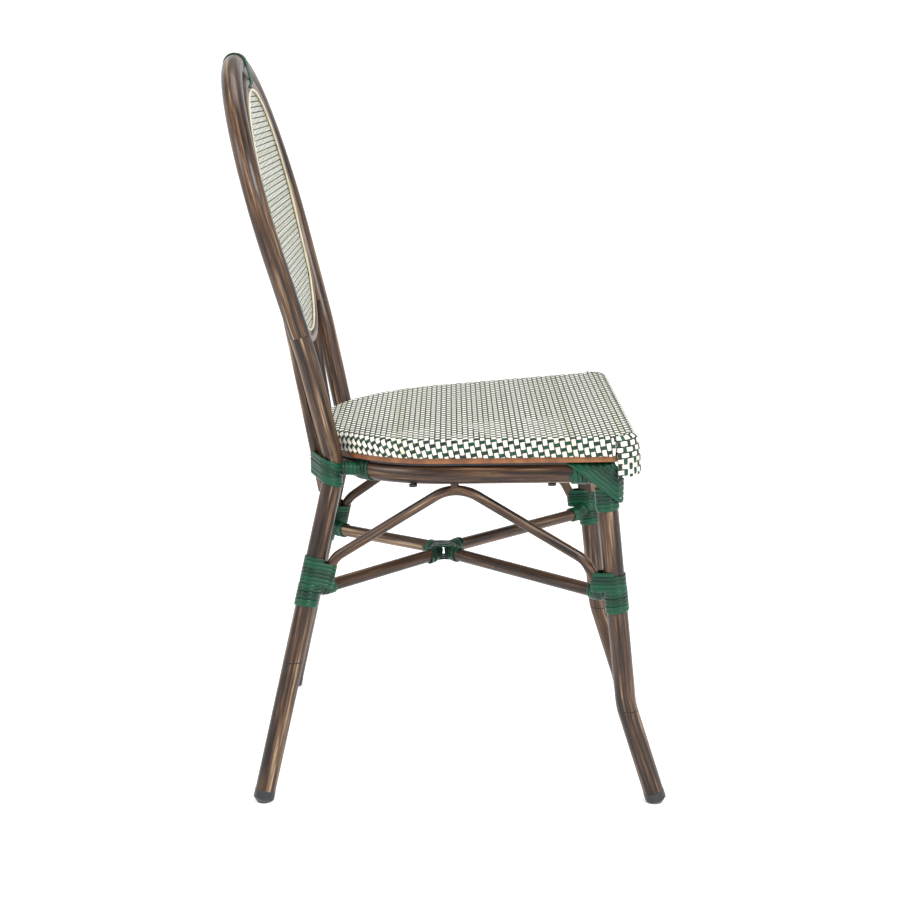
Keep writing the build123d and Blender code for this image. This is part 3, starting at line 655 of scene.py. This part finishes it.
def wind_pair(origin, axes, circles, low, high, pitch=CORD_PITCH, slope=(0.0, 0.0), start=0.0):
    """Turns round the hull of several circles, climbing along the third axis."""
    ex, ey, ez = [np.array(tuple(v), float) for v in axes]
    theta = np.linspace(0, 2 * pi, 120, endpoint=False)
    way = np.stack([np.cos(theta), np.sin(theta)], 1)
    spots = np.array([c[:2] for c in circles])
    reach = np.array([c[2] for c in circles]) + CORD_LIFT
    best = (way @ spots.T + reach).argmax(1)
    ring = spots[best] + way * reach[best][:, None]
    ring, way = np.vstack([ring, ring[:1]]), np.vstack([way, way[:1]])
    place = np.concatenate([[0], np.cumsum(np.linalg.norm(np.diff(ring, axis=0), axis=1))])
    turns = (high - low - 2 * END_GAP) / pitch
    count = int(turns * 34) + 1
    t = start + np.linspace(0, turns, count)
    s = (t % 1.0) * place[-1]
    flat = np.stack([np.interp(s, place, ring[:, k]) for k in range(2)], 1)
    out = np.stack([np.interp(s, place, way[:, k]) for k in range(2)], 1)
    middle = spots.mean(0)
    rise = low + END_GAP + (t - start) * pitch + (flat - middle) @ np.array(slope)
    line = np.array(tuple(origin), float) + flat[:, :1] * ex + flat[:, 1:] * ey + rise[:, None] * ez
    return line, out[:, :1] * ex + out[:, 1:] * ey


def smooth_run(points, ways, count=30):
    """A single run through a few points, rounded by a Catmull-Rom spline."""
    p = np.array([tuple(v) for v in points], float)
    w = np.array([tuple(v) for v in ways], float)
    p, w = [np.vstack([2 * q[0] - q[1], q, 2 * q[-1] - q[-2]]) for q in (p, w)]
    t = np.linspace(0, len(points) - 1.0001, count)
    k, f = t.astype(int), (t % 1.0)[:, None]
    made = []
    for q in (p, w):
        a, b, c, d = q[k], q[k + 1], q[k + 2], q[k + 3]
        made.append(0.5 * (2 * b + (c - a) * f + (2 * a - 5 * b + 4 * c - d) * f ** 2
                           + (3 * b - a - 3 * c + d) * f ** 3))
    return made[0], made[1]


# %% [markdown]
# ## Where the joints are
# The same few sizes as in the CAD model: the straight runs of the legs, the braces' ends, the bows
# and the seat ring. Distances are in millimetres, forward of the datum plane.

# %% Joint positions
LEG_R, BOW_R, BRACE_R, INNER_R = 12.5, 8.0, 6.2, 6.5      # tube radii; the seat ring is a leg's tube
STRETCHER_Z, REAR_BOW_END_Z = 262, 252
REAR_VERTEX, FRONT_VERTEX = -1, -13.5                     # where each bow's two runs would cross
RING_ARC_R, RING_CENTRE = 174.2, 22.6                     # the seat ring's round back


def mm(x, forward, z):
    return np.array([x, -forward - DATUM, z], float)


def rear_leg_at(side, z):
    f = (402 - z) / 402
    return mm(side * (122 + 81.5 * f), -139.5 - 89.7 * f, z)


def front_leg_at(side, z):
    f = (410 - z) / 285
    return mm(side * (204.5 - f), 181.6 + 31.4 * f, z)


def unit(v):
    return v / np.linalg.norm(v)


def axes_along(axis):
    """Two sideways directions for an axis, the first as level as can be."""
    ez = unit(axis)
    ex = unit(np.cross(np.array([0.0, 1.0, 0.0]), ez))
    return ex, np.cross(ez, ex), ez


def circle_beside(origin, axes, point, way, radius):
    """Where a tube's line crosses the plane of a binding, as a circle in it."""
    ex, ey, ez = axes
    hit = point + way * (np.dot(origin - point, ez) / np.dot(way, ez))
    return np.dot(hit - origin, ex), np.dot(hit - origin, ey), radius


# %% [markdown]
# ## Low joints
# A stretcher bow and a brace meet each leg low down. The cord goes round the leg and the brace
# together, then round the leg alone, then out along the bow.

# %% Bind the low joints
def low_joint(name, side, leg_at, brace, low, middle, high, vertex, bow_z):
    axis = leg_at(side, high) - leg_at(side, low)
    origin = (leg_at(side, middle) + leg_at(side, high)) / 2
    axes = axes_along(axis)
    half = (high - middle) / 2
    beside = circle_beside(origin, axes, brace[0], brace[1] - brace[0], BRACE_R)
    runs = [wind_pair(origin, axes, [(0, 0, LEG_R), beside], -half, half, slope=(0.0, 0.06))]
    runs.append(wind([leg_at(side, low), leg_at(side, middle + 5)], LEG_R + 0.4, wobble=0.25))
    end = leg_at(side, bow_z)
    inward = unit(mm(0, vertex, STRETCHER_Z) - end)
    near, far = end + inward * 11 + unit(axis) * 6, end + inward * 40
    runs.append(wind([near, end + inward * 24, far], BOW_R + 0.4, pitch=4.4, wobble=0.4))
    lay_cord("cord_" + name, runs, name)


for word, side in SIDES:
    back_end = [mm(side * 153.7, -150.0, 263), mm(side * 147.7, -143.4, 292.7)]
    fore_end = [mm(side * 203.8, 176.5, 276), mm(side * 203.5, 160.0, 307.5)]
    low_joint(f"lower_rear_binding_{word}", side, rear_leg_at, back_end, 235, 260, 294,
              REAR_VERTEX, REAR_BOW_END_Z)
    low_joint(f"lower_front_binding_{word}", side, front_leg_at, fore_end, 244, 270, 295,
              FRONT_VERTEX, STRETCHER_Z)

# %% [markdown]
# ## Knees
# Behind the seat the cord ties the leg's knee and the inner hoop's tail together. Its turns slant
# down towards the seat, and a few turns go round the seat ring beside them.

# %% Bind the knees
def seat_point(x, rear, z):
    """One point of the tilted seat, as a place on the chair."""
    return to_chair(*np.array([[x], [rear], [z]], float))[0]


def ring_point(side, angle):
    """A point of the ring's round back, at an angle from straight behind."""
    return seat_point(side * RING_ARC_R * sin(angle), -RING_CENTRE + RING_ARC_R * cos(angle), 0)


ring_angle = atan2(122.0, 139.5 - 22.6)
for word, side in SIDES:
    knee = mm(side * 126.0, -145.2, 402)
    level = (np.array([1.0, 0, 0]), np.array([0, 1.0, 0]), np.array([0, 0, 1.0]))
    tail = mm(side * (101.5 + 0.17 * 40), -156.5 - 0.163 * 40, 408)
    circles = [(0, 0, 12.8), (tail[0] - knee[0], tail[1] - knee[1], 6.8)]
    runs = [wind_pair(knee, level, circles, -17, 17, pitch=5.0, slope=(0.0, 0.42))]
    runs.append(wind_pair(knee, level, circles, -12, 12, pitch=8.0, slope=(0.0, 0.62), start=0.3))
    beside = [ring_point(side, ring_angle + k) for k in (-0.09, -0.05, 0.0, 0.05)]
    runs.append(wind(beside, LEG_R, wobble=0.4))
    runs.append(wind([ring_point(side, ring_angle), knee], 7.0))
    lay_cord(f"cord_upper_rear_binding_{word}", runs, f"upper_rear_binding_{word}")

# %% [markdown]
# ## Front corners
# At the front the cord covers the seat ring's corner and the top of the leg. Under-turns go round
# the ring and the leg, and a row of diagonal runs crosses the outer face from the ring's top down
# to the leg's front edge.

# %% Bind the front corners
RING_CORNER = [(198.1, 143), (200.9, 158.5), (201.3, 163), (200.6, 169), (197.6, 175.5), (192, 180.5),
               (186, 182.8), (178, 183)]
for word, side in SIDES:
    corner_path = [seat_point(side * x, -forward, 0) for x, forward in RING_CORNER]
    runs = [wind(corner_path, LEG_R, wobble=0.2)]
    runs.append(wind([front_leg_at(side, 369.5), front_leg_at(side, 398)], LEG_R))
    for k in range(7):
        edge_z = 421 - 6.0 * k
        top_f = 196 - (428.5 - edge_z) / 0.78
        face = []
        for share in (0.25, 0.6, 0.9):
            f = top_f + (194 - top_f) * share
            bulge = 215.6 + min(max((f - 150) / 30, 0), 1) * 4.2
            face.append(mm(side * bulge, f, edge_z + 0.78 * (196 - f)))
        spots = [mm(side * (195 + k * -0.6), top_f - 5, 429.0 + 0.05 * top_f - 9),
                 mm(side * (208.5 - k * 0.5), top_f - 1, 427.5 + 0.05 * top_f - 9)] + face
        spots += [mm(side * 215.5, 199.2, edge_z - 2.0), mm(side * 206.5, 203.4, edge_z - 2.0),
                  mm(side * 197, 201.5, edge_z + 1.5)]
        ways = [(0, 0, 1), (side * 0.6, 0, 0.8)] + [(side, 0, 0.1)] * 3
        ways += [(side * 0.8, -0.6, 0), (side * 0.1, -1, 0), (-side * 0.5, -0.85, 0)]
        runs.append(smooth_run(spots, ways, 30))
    lay_cord(f"cord_upper_front_binding_{word}", runs, f"upper_front_binding_{word}")

# %% [markdown]
# ## Middle of the stretchers and top of the hoops
# Where the two bows touch, the cord is wound loosely in both slants, so dark gaps show. At the top
# of the back a few turns tie the inner hoop to the outer one.

# %% Bind the middle and the top
upright = (np.array([0, 1.0, 0]), np.array([0, 0, 1.0]), np.array([1.0, 0, 0]))
bows = [(17.3 - DATUM, 261.2, BOW_R), (-1.0 - DATUM, STRETCHER_Z, BOW_R)]
still = np.zeros(3)
runs = [wind_pair(still, upright, bows, -17, 17, pitch=8.5, slope=(0.28, 0.0)),
        wind_pair(still, upright, bows, -14, 16, pitch=9.5, slope=(-0.35, 0.1), start=0.35),
        wind_pair(still, upright, bows, -6, 7, pitch=5.0, start=0.6)]
REAR_CURVE = [(6, -18.4), (11, -19.9), (20, -24.4), (25, -29.2)]
FRONT_CURVE = [(6, 1.5), (11, 2.9), (20, 7.7), (26, 13.4)]
for side in (-1, 1):
    behind = [mm(side * x, f, 261.2 - x * 0.06) for x, f in REAR_CURVE]
    ahead = [mm(side * x, f, STRETCHER_Z) for x, f in FRONT_CURVE]
    runs.append(wind(behind, BOW_R + 0.6, pitch=5.4, wobble=0.8))
    runs.append(wind(ahead, BOW_R + 0.6, pitch=5.6, start=1.5, wobble=0.9))
lay_cord("cord_centre_binding", runs, "centre_binding")

crown = []
for forward, z, lean, radius, tube_r in (
        (-215.4, 705.0, HOOP_LEAN, 183.0, LEG_R), (-215.0, 708.0, INNER_LEAN, 157.0, INNER_R)):
    crown.append((-forward - DATUM + sin(lean) * radius, z + cos(lean) * radius, tube_r + 0.2))
runs = [wind_pair(still, upright, crown, -12, 12, pitch=5.3)]
lay_cord("cord_hoop_tie", runs, "hoop_tie")

# %% [markdown]
# ## Floor, light and camera
# The floor is a wide shallow bowl, flat in the middle, with a rim that curves up out of sight. It is
# white and glows a little, so no horizon shows.

# %% Stage
mesh = bpy.data.meshes.new("studio_floor")
bm = bmesh.new()
FLOOR_R, RIM_R = 9, 3              # metres: the flat middle, and the curve up into the rim
rise = [bm.verts.new((FLOOR_R + RIM_R * sin(a), 0, RIM_R - RIM_R * cos(a)))
        for a in np.linspace(0, pi / 2, 13)]
profile = [bm.verts.new((0, 0, 0))] + rise + [bm.verts.new((FLOOR_R + RIM_R, 0, 2 * RIM_R))]
edges = [bm.edges.new(pair) for pair in zip(profile, profile[1:])]
bmesh.ops.spin(bm, geom=profile + edges, cent=(0, 0, 0), axis=(0, 0, 1), angle=2 * pi, steps=72,
               use_merge=True)
bmesh.ops.remove_doubles(bm, verts=bm.verts, dist=0.0001)
bmesh.ops.recalc_face_normals(bm, faces=bm.faces)
for face in bm.faces:
    face.smooth = True
bm.to_mesh(mesh)
bm.free()
floor = bpy.data.objects.new("studio_floor", mesh)
bpy.context.scene.collection.objects.link(floor)
floor_paint, tree, shader = start_material("studio_floor_white", Roughness=0.85)
shader.inputs["Base Color"].default_value = (0.86, 0.86, 0.86, 1)
shader.inputs["Emission Color"].default_value = (1, 1, 1, 1)
shader.inputs["Emission Strength"].default_value = 0.42
mesh.materials.append(floor_paint)

world = bpy.data.worlds.new("studio_air")
bpy.context.scene.world = world
world.use_nodes = True
world.node_tree.nodes["Background"].inputs["Color"].default_value = (1, 1, 1, 1)
world.node_tree.nodes["Background"].inputs["Strength"].default_value = 0.6


def soft_light(name, place, target, size, watts):
    lamp = bpy.data.lights.new(name, "AREA")
    lamp.shape = "SQUARE"
    lamp.size = size
    lamp.energy = watts
    lamp_object = bpy.data.objects.new(name, lamp)
    lamp_object.location = place
    lamp_object.rotation_euler = (Vector(target) - Vector(place)).to_track_quat("-Z", "Y").to_euler()
    bpy.context.scene.collection.objects.link(lamp_object)


soft_light("key_light", (-2.2, -1.6, 2.6), (0, 0, 0.5), 1.1, 85)
soft_light("fill_light", (-1.2, 2.4, 1.8), (0, 0, 0.5), 1.2, 28)
soft_light("top_light", (0.6, 0, 3.0), (0, 0, 0.4), 1.4, 22)

camera = bpy.data.cameras.new("camera")
camera.lens = 68.0
camera.sensor_width = 36.0
camera_object = bpy.data.objects.new("camera", camera)
camera_object.location = (-2.144, -DATUM * MM, 0.8731)
camera_object.rotation_euler = (pi / 2 - 0.2191, 0, -pi / 2)
bpy.context.scene.collection.objects.link(camera_object)
bpy.context.scene.camera = camera_object
bpy.context.scene.view_settings.view_transform = "Standard"
